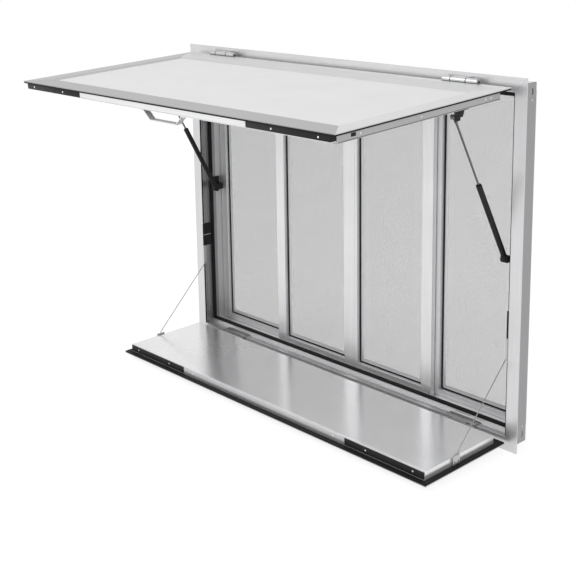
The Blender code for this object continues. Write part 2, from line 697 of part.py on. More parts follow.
def hatch_hinge(label, centre):
    r = HATCH_BARREL_R
    half = HATCH_HINGE_HALF
    left, right = HATCH_KNUCKLES
    wall = -HATCH_AXIS[0] - TOUCH
    inner = wall - LEAF_T
    outline = curl(r, 90.0) + [(wall, r - LEAF_T), (wall, HATCH_UPSTAND)]
    outline += [(inner, HATCH_UPSTAND), (inner, r)]
    around = (-r - OVERCUT, r + OVERCUT)
    barrel = ((-r - OVERCUT, inner - RUN), around)
    windows = (((-half - OVERCUT, left), *barrel), ((right, half + OVERCUT), *barrel))
    fixed = rolled_leaf(f"awning_hinge_{label}", HATCH_WALL, outline, centre, half, windows)
    hinge_pin(fixed, HATCH_WALL, centre, half, r, HATCH_KNUCKLES)
    # The moving leaf drops behind the plate's edge, runs out below the rim and down the body's back
    low = RIM_TOP - RIM_T - 2 * TOUCH
    body = TOUCH - HATCH_BODY_BACK
    outline = curl(r, 0.0) + [(r - LEAF_T, low), (body, low), (body, low - FLAP)]
    outline += [(body + LEAF_T, low - FLAP), (body + LEAF_T, low - LEAF_T), (r, low - LEAF_T)]
    past = r + OVERCUT
    neck = ((-LEAF_T, past), (low - 2 * LEAF_T, r))
    windows = (((left, right), around, (low + TOUCH, past)), ((left, right), *neck))
    rolled_leaf(f"awning_hinge_leaf_{label}", HATCH, outline, centre, half, windows)


def shelf_hinge(label, centre):
    r = SHELF_BARREL_R
    half = SHELF_HINGE_HALF
    left, right = SHELF_KNUCKLES
    floor = FLANGE_BAND + TOUCH - SHELF_AXIS[1]
    bend = -SHELF_AXIS[0] - LEAF_BEND
    end = SHELF_LEAF_END - SHELF_AXIS[0]
    outline = curl(r, 90.0) + [(bend, floor), (end, floor), (end, floor + LEAF_T)]
    outline += [(bend - LEAF_BEND / 2, floor + LEAF_T)]
    outer_two = ((-half - OVERCUT, left), (right, half + OVERCUT))
    barrel = ((-r - OVERCUT, r + OVERCUT), (-r - OVERCUT, floor - RUN))
    tail = ((-r - OVERCUT, bend - RUN), (0.0, floor + 2 * LEAF_T))
    windows = [(x, *room) for x in outer_two for room in (barrel, tail)]
    fixed = rolled_leaf(f"shelf_hinge_{label}", SHELF_WALL, outline, centre, half, windows)
    hinge_pin(fixed, SHELF_WALL, centre, half, r, SHELF_KNUCKLES)
    hole_y = HINGE_HOLE_Y - SHELF_AXIS[0]
    for i, x in enumerate(HINGE_HOLES):
        ends = (centre + x, hole_y, floor - OVERCUT), (centre + x, hole_y, floor + LEAF_T + OVERCUT)
        hole = rod(f"{fixed.name}_hole_{i}", SHELF_WALL, None, *ends, HINGE_HOLE_R, HINGE_HOLE_SIDES)
        boolean(fixed, hole, "DIFFERENCE")
    # The moving leaf leaves the barrel level, runs out over the rim and up the body's back
    low = SHELF_RIM_BASE + RIM_T + 2 * TOUCH
    high = low + LEAF_T
    body = TOUCH - SHELF_BODY_BACK
    start = 180.0 - math.degrees(math.asin(high / r))
    end, inner_start = SHELF_CURL_END_DEG, SHELF_CURL_INNER_DEG
    outline = arc(r, start, end, ROUND_SIDES) + arc(r - LEAF_T, end, inner_start, ROUND_SIDES)
    outline += [(LEAF_T - r, low), (body, low), (body, high + FLAP)]
    outline += [(body + LEAF_T, high + FLAP), (body + LEAF_T, high)]
    windows = (((left, right), (-r - 2 * LEAF_T - OVERCUT, r + OVERCUT), (-r - OVERCUT, r + OVERCUT)),)
    rolled_leaf(f"shelf_hinge_leaf_{label}", SHELF, outline, centre, half, windows)


def notch(nodes, parent, centre, half, radius):
    """Room for a barrel in the back edge of a plate and of its rim."""
    x = (centre - half - NOTCH - PIN_END, centre + half + NOTCH + PIN_END)
    for node in nodes:
        target = bpy.data.objects[node]
        reach = (-2 * NOTCH_PAST, NOTCH_PAST)
        tool = block(f"{node}_notch_{centre:.0f}", parent, None, x, (-radius - NOTCH, NOTCH_PAST), reach)
        boolean(target, tool, "DIFFERENCE")


for label, sign in (("left", -1), ("right", 1)):
    hatch_hinge(label, sign * HATCH_HINGE_X)
    shelf_hinge(label, sign * SHELF_HINGE_X)
    hatch_place = (sign * HATCH_HINGE_X, HATCH_HINGE_HALF, HATCH_BARREL_R)
    shelf_place = (sign * SHELF_HINGE_X, SHELF_HINGE_HALF, SHELF_BARREL_R)
    notch(("awning_rail_back", "awning_seal"), HATCH, *hatch_place)
    notch(("shelf_skin", "shelf_seal"), SHELF, *shelf_place)


# Gas struts, drawn along Z from the foot pivot, and their brackets under the hatch
def opened(out, up, axis, tilt):
    """A point of the open hatch or shelf in casing lengths."""
    turn = math.radians(tilt)
    y = axis[0] - out * math.cos(turn) - up * math.sin(turn)
    z = axis[1] - out * math.sin(turn) + up * math.cos(turn)
    return y, z


HEAD_Y, HEAD_Z = opened(*STRUT_HEAD, HATCH_AXIS, HATCH_DROOP_DEG)
STRUT_OPEN = math.hypot(HEAD_Y - STRUT_FOOT[0], HEAD_Z - STRUT_FOOT[1])
STRUT_LEAN = math.degrees(math.asin((STRUT_FOOT[0] - HEAD_Y) / STRUT_OPEN))
STRUT = pivot("strut_axis", *STRUT_FOOT, STRUT_LEAN)


def turned(name, parent, look, profile, x):
    """A profile of (radius, height) turned about its own Z axis."""
    mesh = bpy.data.meshes.new(name)
    points = [(r * MM, 0.0, z * MM) for r, z in profile]
    mesh.from_pydata(points, [(i, i + 1) for i in range(len(points) - 1)], [])
    mesh.materials.append(look)
    obj = bpy.data.objects.new(name, mesh)
    obj.parent = parent
    obj.location.x = x * MM
    PART.objects.link(obj)
    screw = obj.modifiers.new("turn", "SCREW")
    screw.steps = ROUND_SIDES
    screw.render_steps = ROUND_SIDES
    screw.use_merge_vertices = True
    screw.merge_threshold = 0.00001
    return obj


def strut(label, x):
    eye = (x - STRUT_END_T / 2, x + STRUT_END_T / 2)
    profile = [(0, TUBE_FLOOR), (TUBE_BORE_R, TUBE_FLOOR), (TUBE_BORE_R, TUBE_TOP)]
    profile += [(TUBE_R - TUBE_EDGE, TUBE_TOP), (TUBE_R, TUBE_TOP - TUBE_EDGE), (TUBE_R, 0), (0, 0)]
    tube = turned(f"strut_{label}_cylinder", STRUT, BLACK, profile, x)
    ends = (eye[0], 0, 0), (eye[1], 0, 0)
    foot = rod(f"strut_{label}_foot", STRUT, None, *ends, STRUT_END_R, ROUND_SIDES)
    boolean(tube, foot, "UNION")
    start = TUBE_TOP - ROD_IN
    profile = [(0, STRUT_OPEN), (ROD_R, STRUT_OPEN), (ROD_R, start), (0, start)]
    bar = turned(f"strut_{label}_rod", STRUT, STEEL, profile, x)
    ends = (eye[0], 0, STRUT_OPEN), (eye[1], 0, STRUT_OPEN)
    boolean(bar, rod(f"strut_{label}_head", STRUT, None, *ends, ROD_END_R, ROUND_SIDES), "UNION")


def head_bracket(label, sign):
    """A foot screwed under the hatch's side rail and an ear beside the strut's head."""
    near = STRUT_X + STRUT_END_T / 2 + TOUCH
    top = HATCH_LOW - TOUCH
    out, up = STRUT_HEAD
    foot_x = sorted((sign * near, sign * (HATCH_BODY_HALF - HEAD_FOOT_EDGE)))
    foot_y = (-out - HEAD_FOOT_HALF, -out + HEAD_FOOT_HALF)
    bracket = block(f"awning_bracket_{label}", HATCH, BLACK, foot_x, foot_y, (top - HEAD_FOOT_T, top))
    ear_x = sorted((sign * near, sign * (near + EAR_T)))
    ear_y = (-out - EAR_HALF, -out + EAR_HALF)
    ear = block(f"awning_ear_{label}", HATCH, None, ear_x, ear_y, (up - EAR_DROP, top - HEAD_FOOT_T / 2))
    boolean(bracket, ear, "UNION")


def head_pocket(label, x):
    """Room in the hatch's underside for the strut's head, between its open and closed places."""
    half = STRUT_END_T / 2 + POCKET_RUN
    out = (-POCKET_OUT[1], -POCKET_OUT[0])
    depth = (HATCH_LOW - OVERCUT, HATCH_LOW + POCKET_DEEP)
    tool = block(f"head_pocket_{label}", HATCH, None, (x - half, x + half), out, depth)
    boolean(bpy.data.objects["awning_frame"], tool, "DIFFERENCE")


# Shelf clips and the taut cables that hold the open shelf
def clip_and_cable(label, sign):
    near = SHELF_BODY_HALF + TOUCH
    x = sorted((sign * near, sign * (near + CLIP_REACH)))
    low = SHELF_RIM_BASE + RIM_T + 2 * TOUCH
    block(f"shelf_clip_{label}", SHELF, STEEL, x, (-CLIP_OUT[1], -CLIP_OUT[0]), (low, CLIP_UP), 0.6)
    middle = sum(CLIP_OUT) / 2
    foot_y, foot_z = opened(middle, CLIP_UP + TOUCH + CABLE_R, SHELF_AXIS, SHELF_DROOP_DEG)
    side = sign * CABLE_X
    rod(f"cable_{label}", CASING, STEEL, (side, foot_y, foot_z), (side, *CABLE_TOP), CABLE_R, 10)


for label, sign in (("left", -1), ("right", 1)):
    strut(label, sign * STRUT_X)
    head_bracket(label, sign)
    head_pocket(label, sign * STRUT_X)
    clip_and_cable(label, sign)
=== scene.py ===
import math

import bmesh
import bpy
from mathutils import Euler, Matrix, Vector


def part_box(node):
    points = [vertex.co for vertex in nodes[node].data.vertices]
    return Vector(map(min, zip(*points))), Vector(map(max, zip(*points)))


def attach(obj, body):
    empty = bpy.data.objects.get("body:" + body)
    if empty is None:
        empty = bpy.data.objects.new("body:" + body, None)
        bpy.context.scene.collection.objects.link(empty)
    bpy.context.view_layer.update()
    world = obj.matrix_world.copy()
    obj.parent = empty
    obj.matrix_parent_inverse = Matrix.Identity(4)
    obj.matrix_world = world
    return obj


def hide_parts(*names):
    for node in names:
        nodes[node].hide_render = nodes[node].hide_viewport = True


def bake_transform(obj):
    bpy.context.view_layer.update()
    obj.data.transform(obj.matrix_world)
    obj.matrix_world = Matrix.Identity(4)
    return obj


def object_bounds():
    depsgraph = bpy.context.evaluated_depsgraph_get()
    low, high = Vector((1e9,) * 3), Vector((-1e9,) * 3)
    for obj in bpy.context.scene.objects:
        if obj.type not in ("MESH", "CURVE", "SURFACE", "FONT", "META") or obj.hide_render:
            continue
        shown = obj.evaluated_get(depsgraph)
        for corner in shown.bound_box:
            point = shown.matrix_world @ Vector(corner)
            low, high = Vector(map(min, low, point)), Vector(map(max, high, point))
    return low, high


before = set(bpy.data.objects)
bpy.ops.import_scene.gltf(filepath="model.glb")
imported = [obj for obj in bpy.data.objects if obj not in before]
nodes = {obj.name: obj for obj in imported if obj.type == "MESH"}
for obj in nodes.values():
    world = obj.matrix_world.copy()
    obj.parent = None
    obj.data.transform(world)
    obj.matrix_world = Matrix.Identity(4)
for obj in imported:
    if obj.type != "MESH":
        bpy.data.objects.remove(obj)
cad_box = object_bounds()
scene = bpy.context.scene
scene.view_settings.view_transform = "Standard"
MM = 0.001


# Camera
# The photograph looks down at the window from its right, about three metres away.
# The view is framed below the lens axis, so the lens is shifted down and a little to the left.
EYE = Vector((2.1098, -2.0921, 1.2428))
TURN, PITCH, ROLL = math.radians(46.067), math.radians(12.122), math.radians(-0.522)
LENS_MM, SHIFT_LEFT, SHIFT_DOWN = 69.615, 0.0549, 0.1997
lens = bpy.data.cameras.new("camera")
lens.lens = LENS_MM
lens.shift_x = -SHIFT_LEFT
lens.shift_y = -SHIFT_DOWN
camera = bpy.data.objects.new("camera", lens)
aim = Euler((math.pi / 2 - PITCH, 0.0, TURN)).to_matrix() @ Matrix.Rotation(ROLL, 3, "Z")
camera.matrix_world = Matrix.Translation(EYE) @ aim.to_4x4()
scene.collection.objects.link(camera)
scene.camera = camera


# Floor, background and lights
# A plain white studio: a pale floor that keeps a faint shadow, an even white surround
# and three large soft lamps.
WHITE = (1.0, 1.0, 1.0, 1.0)
FLOOR_SIZE, FLOOR_BELOW = 30.0, 0.5 * MM
FLOOR_GLOW, FLOOR_TONE = 0.80, (0.32, 0.32, 0.32, 1.0)
FLOOR_TONE_FOR_LIGHT = (0.75, 0.75, 0.75, 1.0)
SURROUND = 0.62
LAMPS = (
    ("key_lamp", (-1.9, -2.6, 3.0), 2.4, 36.0),
    ("fill_lamp", (2.6, -2.4, 1.6), 2.0, 13.0),
    ("top_lamp", (0.2, -0.4, 3.4), 2.6, 20.0),
)
LIT_SPOT = Vector((0.0, -0.2, 0.4))


def node(tree, kind, sockets=None, **settings):
    """A shader node whose sockets take values or other nodes' outputs."""
    made = tree.nodes.new("ShaderNode" + kind)
    for name, value in settings.items():
        setattr(made, name, value)
    for name, value in (sockets or {}).items():
        if isinstance(value, bpy.types.NodeSocket):
            tree.links.new(value, made.inputs[name])
        else:
            made.inputs[name].default_value = value
    return made


def seen_directly(tree):
    """1 for a camera, mirror or see-through ray, and 0 for light on its way."""
    path = node(tree, "LightPath").outputs
    either = node(tree, "Math", {0: path["Is Camera Ray"], 1: path["Is Glossy Ray"]}, operation="MAXIMUM")
    both = {0: either.outputs[0], 1: path["Is Transmission Ray"]}
    return node(tree, "Math", both, operation="MAXIMUM").outputs[0]


def studio_surround():
    """White where it is seen, and dimmer where it lights the window."""
    world = bpy.data.worlds.new("white_surround")
    world.use_nodes = True
    tree = world.node_tree
    back = tree.nodes["Background"]
    back.inputs["Color"].default_value = WHITE
    strength = node(tree, "MapRange", {"Value": seen_directly(tree), "To Min": SURROUND, "To Max": 1.0})
    tree.links.new(strength.outputs["Result"], back.inputs["Strength"])
    scene.world = world


def studio_floor():
    """A floor that glows nearly white where it is seen, and is plain matt for the light that it returns."""
    bm = bmesh.new()
    bmesh.ops.create_grid(bm, x_segments=1, y_segments=1, size=FLOOR_SIZE / 2)
    bmesh.ops.translate(bm, vec=(0.0, 0.0, cad_box[0].z - FLOOR_BELOW), verts=bm.verts)
    mesh = bpy.data.meshes.new("floor")
    bm.to_mesh(mesh)
    bm.free()
    floor = bpy.data.objects.new("floor", mesh)
    scene.collection.objects.link(floor)
    look = bpy.data.materials.new("pale_floor")
    look.use_nodes = True
    tree = look.node_tree
    tree.nodes.remove(tree.nodes["Principled BSDF"])
    matt = node(tree, "BsdfDiffuse", {"Color": FLOOR_TONE})
    glow = node(tree, "Emission", {"Color": WHITE, "Strength": FLOOR_GLOW})
    lit = node(tree, "AddShader", {0: matt.outputs[0], 1: glow.outputs[0]})
    dull = node(tree, "BsdfDiffuse", {"Color": FLOOR_TONE_FOR_LIGHT})
    mixed = node(tree, "MixShader", {0: seen_directly(tree), 1: dull.outputs[0], 2: lit.outputs[0]})
    tree.links.new(mixed.outputs[0], tree.nodes["Material Output"].inputs["Surface"])
    mesh.materials.append(look)


def soft_lamp(name, spot, size, watts):
    """A round lamp that faces the middle of the window."""
    lamp = bpy.data.lights.new(name, "AREA")
    lamp.shape = "DISK"
    lamp.size = size
    lamp.energy = watts
    held = bpy.data.objects.new(name, lamp)
    held.location = spot
    held.rotation_euler = (LIT_SPOT - Vector(spot)).to_track_quat("-Z", "Y").to_euler()
    scene.collection.objects.link(held)


studio_surround()
studio_floor()
for lamp_values in LAMPS:
    soft_lamp(*lamp_values)


# Casing
# Four mitred lengths of aluminium extrusion, screwed to the wall through their flange.
# The satin finish keeps the fine lines of drawing, which run along each length.
ALONG_X = (6.0, 700.0, 700.0)
ALONG_Z = (700.0, 700.0, 6.0)
COOL = 1.005
LINE_DETAIL, LINE_SPAN = 4.0, (0.3, 0.7)
CLOUD_SCALE, CLOUD_DETAIL, CLOUD_SHADE = 9.0, 3.0, ((0.25, 0.95), (0.75, 1.0))
METAL_GLOSS_SWING, METAL_RELIEF_DEPTH = 0.05, 0.05 * MM


def grey(tone):
    """A grey a shade cooler than neutral."""
    return (tone, tone, tone * COOL, 1.0)


def ramp(tree, factor, stops):
    """Greys by a factor, from (place, tone) pairs."""
    made = node(tree, "ValToRGB", {"Fac": factor})
    elements = made.color_ramp.elements
    for element, (place, tone) in zip(elements, (stops[0], stops[-1])):
        element.position = place
        element.color = grey(tone)
    for place, tone in stops[1:-1]:
        elements.new(place).color = grey(tone)
    return made.outputs["Color"]


def noise(tree, place, scale, detail):
    return node(tree, "TexNoise", {"Vector": place, "Scale": scale, "Detail": detail}).outputs["Fac"]


def darkened(tree, colour, shade):
    """One colour multiplied by another."""
    both = {"Fac": 1.0, "Color1": colour, "Color2": shade}
    return node(tree, "MixRGB", both, blend_type="MULTIPLY").outputs[0]


def new_look(name, tone):
    """A material to build on, with its nodes, its shader and the object's own coordinates."""
    look = bpy.data.materials.new(name)
    look.use_nodes = True
    look.diffuse_color = grey(tone)
    tree = look.node_tree
    place = node(tree, "TexCoord").outputs["Object"]
    return look, tree, tree.nodes["Principled BSDF"], place


def finish_surface(tree, shader, colour, texture, gloss, relief):
    """Sets a shader's colour, and its gloss (roughness, swing) and relief (strength, depth) by a texture."""
    tree.links.new(colour, shader.inputs["Base Color"])
    rough, swing = gloss
    spread = node(tree, "MapRange", {"Value": texture, "To Min": rough - swing, "To Max": rough + swing})
    tree.links.new(spread.outputs[0], shader.inputs["Roughness"])
    bump = node(tree, "Bump", {"Height": texture, "Strength": relief[0], "Distance": relief[1]})
    tree.links.new(bump.outputs[0], shader.inputs["Normal"])


def metal_sheet(name, tone, rough, lines, metallic=0.85, streak=0.05, relief=0.12, shade_bands=None):
    """Satin metal: drawn lines in one direction over slow cloudy changes in tone, and painted shade by depth
    where shade bands are given.
    """
    look, tree, shader, place = new_look(name, tone)
    stretched = node(tree, "Mapping", {"Vector": place, "Scale": lines}).outputs[0]
    drawn = noise(tree, stretched, 1.0, LINE_DETAIL)
    dark, light = tone * (1 - streak), tone * (1 + streak)
    lined = ramp(tree, drawn, ((LINE_SPAN[0], dark), (LINE_SPAN[1], light)))
    cloud = noise(tree, place, CLOUD_SCALE, CLOUD_DETAIL)
    colour = darkened(tree, lined, ramp(tree, cloud, CLOUD_SHADE))
    if shade_bands:
        # Painted shade: each band is (y, share of the tone), from the front into the wall
        depth = node(tree, "SeparateXYZ", {"Vector": place}).outputs["Y"]
        start, end = shade_bands[0][0], shade_bands[-1][0]
        share = node(tree, "MapRange", {"Value": depth, "From Min": start, "From Max": end}).outputs[0]
        stops = [((y - start) / (end - start), value) for y, value in shade_bands]
        colour = darkened(tree, colour, ramp(tree, share, stops))
    gloss = (rough, METAL_GLOSS_SWING)
    finish_surface(tree, shader, colour, drawn, gloss, (relief, METAL_RELIEF_DEPTH))
    shader.inputs["Metallic"].default_value = metallic
    return look


def dress(names, look):
    """Gives CAD nodes their finish."""
    for name in names:
        for held in nodes[name].material_slots:
            held.material = look


FLAT_ALUMINIUM = metal_sheet("satin_aluminium_across", tone=0.70, rough=0.38, lines=ALONG_X)
# Painted shade: the flange keeps its full tone, and the reveal behind its back face is painted at half tone
SHADE_BEHIND_FLANGE = ((-2.5 * MM, 1.0), (-0.4 * MM, 1.0), (0.4 * MM, 0.50), (54.0 * MM, 0.50))
UPRIGHT_ALUMINIUM = metal_sheet(
    "satin_aluminium_upright", tone=0.70, rough=0.38, lines=ALONG_Z, shade_bands=SHADE_BEHIND_FLANGE
)
dress(("casing_head", "casing_sill", "track_sill", "track_head"), FLAT_ALUMINIUM)
dress(("casing_jamb_left", "casing_jamb_right"), UPRIGHT_ALUMINIUM)


# Door seal and jamb trims
# A strip of black rubber runs round the opening, pressed into its groove, matt with a fine skin.
# A thin trim covers each jamb's front edge, apart from where the latch and the cable eye sit.
SIDES = (("left", -1), ("right", 1))
SKIN_DETAIL, DUST_SCALE, DUST_DETAIL = 3.0, 14.0, 4.0
DUST_SPAN, DUST_LIGHTER = (0.35, 0.7), 1.25
MOULDED_GLOSS_SWING, MOULDED_RELIEF_DEPTH, MOULDED_SPECULAR = 0.08, 0.2 * MM, 0.16
SMOOTH_BELOW = math.radians(35.0)
JAMB_INNER, TRIM_T, TRIM_Y = 591.5, 2.0, (-2.5, 1.0)
TRIM_RUNS = ((30.0, 222.0), (356.0, 880.0))


def moulded(name, tone, rough, grain, relief):
    """Black rubber, plastic or coating with a fine skin and slightly dusty patches."""
    look, tree, shader, place = new_look(name, tone)
    skin = noise(tree, place, grain, SKIN_DETAIL)
    dust = noise(tree, place, DUST_SCALE, DUST_DETAIL)
    colour = ramp(tree, dust, ((DUST_SPAN[0], tone), (DUST_SPAN[1], tone * DUST_LIGHTER)))
    gloss = (rough, MOULDED_GLOSS_SWING)
    finish_surface(tree, shader, colour, skin, gloss, (relief, MOULDED_RELIEF_DEPTH))
    shader.inputs["Specular IOR Level"].default_value = MOULDED_SPECULAR
    return look


def piece(bm, name, look, body, place=None):
    """Makes a finished mesh an object, which moves with a body where one is given."""
    if place is not None:
        bmesh.ops.transform(bm, matrix=place, verts=bm.verts)
    bmesh.ops.recalc_face_normals(bm, faces=bm.faces)
    mesh = bpy.data.meshes.new(name)
    bm.to_mesh(mesh)
    bm.free()
    mesh.shade_smooth()
    mesh.set_sharp_from_angle(angle=SMOOTH_BELOW)
    mesh.materials.append(look)
    made = bpy.data.objects.new(name, mesh)
    scene.collection.objects.link(made)
    if body:
        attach(made, body)
    return made


def mm(*values):
    """Millimetres as the scene's metres."""
    return [value * MM for value in values]


def slab(bm, x, y, z):
    """A box from its low and high x, y and z, in millimetres."""
    low, high = Vector(mm(x[0], y[0], z[0])), Vector(mm(x[1], y[1], z[1]))
    place = Matrix.Translation((low + high) / 2) @ Matrix.Diagonal(high - low).to_4x4()
    bmesh.ops.create_cube(bm, size=1.0, matrix=place)


def aside(sign, near, far):
    """Low and high x of what reaches from near to far on one side, which the sign gives."""
    return sorted((sign * near, sign * far))


RUBBER = moulded("black_rubber", tone=0.012, rough=0.62, grain=900.0, relief=0.25)
dress(("door_seal",), RUBBER)
for side, sign in SIDES:
    trim = bmesh.new()
    for run in TRIM_RUNS:
        slab(trim, aside(sign, JAMB_INNER - TRIM_T, JAMB_INNER), TRIM_Y, run)
    piece(trim, f"jamb_trim_{side}", RUBBER, "frame")


# Sliding sashes, their frame and gaskets
# Four sashes of pale satin aluminium, two running before two, in a stepped frame.
# Each has a grooved face, and a rebate that carries a flat rubber gasket on its front.
SASHES = (1, 2, 3, 4)
EVERY_WAY = (260.0, 260.0, 260.0)
REBATE_W, REBATE_BEHIND_FACE = 13.5 * MM, 12.5 * MM
GASKET_W, GASKET_T, GASKET_GAP = 4.0 * MM, 1.6 * MM, 0.05 * MM
GASKET_SLOPE, GASKET_SHOULDER = 0.8 * MM, 0.6 * MM


def shrunk(rect, by):
    """A rectangle, as low and high across and low and high up, with each side moved in."""
    return (rect[0] + by, rect[1] - by, rect[2] + by, rect[3] - by)


def ring(section):
    """A frame of one section, mitred at its corners; a section point is (rectangle, y)."""
    bm = bmesh.new()
    loops = []
    for across, up in ((0, 2), (1, 2), (1, 3), (0, 3)):
        loops.append([bm.verts.new((rect[across], y, rect[up])) for rect, y in section])
    edges = [[bm.edges.new((loop[i - 1], loop[i])) for i in range(len(loop))] for loop in loops]
    for i in range(4):
        bmesh.ops.bridge_loops(bm, edges=edges[i - 1] + edges[i])
    return bm


def sash_opening(number):
    """The opening before a sash's rebate, from its screen, which covers half the rebate's back."""
    low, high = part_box(f"screen_{number}")
    return shrunk((low.x, high.x, low.z, high.z), -REBATE_W / 2)


def gasket(number):
    """A flat strip with sloped edges, round the opening and just clear of the rebate."""
    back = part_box(f"sash_{number}")[0].y + REBATE_BEHIND_FACE - GASKET_GAP
    front = back - GASKET_T
    shoulder = front + GASKET_SHOULDER
    outer = shrunk(sash_opening(number), GASKET_GAP)
    inner = shrunk(outer, GASKET_W)
    crown = ((shrunk(outer, GASKET_SLOPE), front), (shrunk(inner, -GASKET_SLOPE), front))
    section = ((outer, back), (outer, shoulder), *crown, (inner, shoulder), (inner, back))
    piece(ring(section), f"gasket_{number}", RUBBER, "frame")


STILE_ALUMINIUM = metal_sheet("satin_aluminium_sash", tone=0.84, rough=0.42, lines=ALONG_Z, metallic=0.7)
FRAME_ALUMINIUM = metal_sheet("satin_aluminium_frame", tone=0.66, rough=0.42, lines=EVERY_WAY, metallic=0.8)
dress([f"sash_{number}" for number in SASHES], STILE_ALUMINIUM)
dress(("track_frame",), FRAME_ALUMINIUM)
for sash_number in SASHES:
    gasket(sash_number)


# Insect screens
# Coated glass fibre yarn, woven 18 by 16 to the inch and fused where it crosses.
# Each sheet is stretched across its sash, behind the rebate.
INCH = 25.4 * MM
PITCH_X, PITCH_Z = INCH / 18, INCH / 16
YARN_R, YARN_SIDES = 0.175 * MM, 6
WEAVE_SHARE = 0.6
WEAVE_DEPTH = YARN_R * WEAVE_SHARE
YARN = moulded("screen_yarn", tone=0.06, rough=0.55, grain=700.0, relief=0.1)


def yarn(bm, start, end):
    """One straight yarn between two points."""
    along = end - start
    place = Matrix.Translation((start + end) / 2) @ along.to_track_quat("Z", "Y").to_matrix().to_4x4()
    size = {"radius1": YARN_R, "radius2": YARN_R, "depth": along.length}
    bmesh.ops.create_cone(bm, cap_ends=True, segments=YARN_SIDES, matrix=place, **size)


def evenly(low, high, pitch):
    """Places one pitch apart, centred between low and high."""
    count = int((high - low) / pitch)
    first = (low + high - count * pitch) / 2
    return [first + i * pitch for i in range(count + 1)]


def insect_screen(number):
    """Upright yarns before level ones, close enough to sink into each other."""
    low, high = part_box(f"screen_{number}")
    middle = (low.y + high.y) / 2
    before, behind = middle - WEAVE_DEPTH, middle + WEAVE_DEPTH
    bm = bmesh.new()
    for x in evenly(low.x, high.x, PITCH_X):
        yarn(bm, Vector((x, before, low.z)), Vector((x, before, high.z)))
    for z in evenly(low.z, high.z, PITCH_Z):
        yarn(bm, Vector((low.x, behind, z)), Vector((high.x, behind, z)))
    made = piece(bm, f"insect_screen_{number}", YARN, "frame")
    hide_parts(f"screen_{number}")


for sash_number in SASHES:
    insect_screen(sash_number)


# Awning hatch
# Mitred rails of satin aluminium round a sunk panel, on a boxed frame with a rubber rim.
# The lines of drawing run along each rail, and each rail's tone carries painted light and shade: the front
# darkest, the right lightest.
ALONG_Y = (700.0, 6.0, 700.0)
# Painted light and shade: the rails are one aluminium, each given the tone that its light makes
RAIL_LIT_AND_SHADED_TONES = {
    "front": (0.40, ALONG_X),
    "back": (0.60, ALONG_X),
    "left": (0.46, ALONG_Y),
    "right": (0.65, ALONG_Y),
}
PANEL = metal_sheet(
    "pale_panel", tone=0.71, rough=0.50, lines=EVERY_WAY, metallic=0.25, streak=0.015, relief=0.04
)
BODY_ALUMINIUM = metal_sheet("satin_body", tone=0.46, rough=0.38, lines=EVERY_WAY)
PLASTIC = moulded("black_plastic", tone=0.018, rough=0.42, grain=1400.0, relief=0.12)
for rail_side, (rail_painted_tone, rail_lines) in RAIL_LIT_AND_SHADED_TONES.items():
    rail_look = metal_sheet(
        f"satin_rail_{rail_side}", tone=rail_painted_tone, rough=0.40, lines=rail_lines, metallic=0.75
    )
    dress((f"awning_rail_{rail_side}",), rail_look)
dress(("awning_panel",), PANEL)
dress(("awning_frame",), BODY_ALUMINIUM)
dress(("awning_seal",), RUBBER)
dress(("awning_bracket_left", "awning_bracket_right"), PLASTIC)


# Hatch front channel
# Three strips of one profile close the front below the rubber rim, with a pale lip under them.
# The middle one is bright aluminium, and the outer two are black and riveted near their ends.
HATCH_AXIS, HATCH_SLOPE = (0.0, -19.5, 899.0), math.radians(3.4)
HATCH_PLACE = Matrix.Translation(mm(*HATCH_AXIS)) @ Matrix.Rotation(HATCH_SLOPE, 4, "X")
BRIGHT_STRIP = metal_sheet("bright_strip", tone=0.86, rough=0.30, lines=ALONG_X, metallic=0.8)
BLACK_STRIP, SILVER_STRIP = (PLASTIC, "black_plastic"), (BRIGHT_STRIP, "satin_aluminium")
STRIP_OUT, STRIP_UP, LIP_UP = (554.8, 570.5), (-22.5, -9.4), (-24.0, -22.7)
STRIP_END, STRIP_JOINT, STRIP_GAP, STRIP_EASE = 579.8, 323.0, 0.2, 0.6
STRIP_RUNS = (
    ("left", (-STRIP_END, -STRIP_JOINT - STRIP_GAP), BLACK_STRIP),
    ("middle", (-STRIP_JOINT + STRIP_GAP, STRIP_JOINT - STRIP_GAP), SILVER_STRIP),
    ("right", (STRIP_JOINT + STRIP_GAP, STRIP_END), BLACK_STRIP),
)
STRIP_RIVETS = (-545.0, -404.0, 404.0, 545.0)
FRONT_RIVET = (2.4, 0.8)
RIVET_SIDES, RIVET_RINGS = 16, 8
EASE_STEPS = 2


def out(near, far):
    """Low and high y of what reaches from near to far out along an open leaf."""
    return (-far, -near)


def eased(bm, width):
    """Rounds every edge of a shape, by a width in millimetres."""
    size = {"offset": width * MM, "offset_type": "OFFSET", "segments": EASE_STEPS, "profile": 0.5}
    bmesh.ops.bevel(bm, geom=bm.edges, affect="EDGES", material=-1, **size)


def rivets(bm, spots, facing, size):
    """Low domed heads of one (radius, rise) on spots of one face, in millimetres."""
    radius, rise = size
    turn = Vector(facing).to_track_quat("Z", "Y").to_matrix().to_4x4()
    flat = Matrix.Diagonal((1.0, 1.0, rise / radius, 1.0))
    dome = {"u_segments": RIVET_SIDES, "v_segments": RIVET_RINGS, "radius": radius * MM}
    for spot in spots:
        place = Matrix.Translation(mm(*spot)) @ turn @ flat
        bmesh.ops.create_uvsphere(bm, matrix=place, **dome)


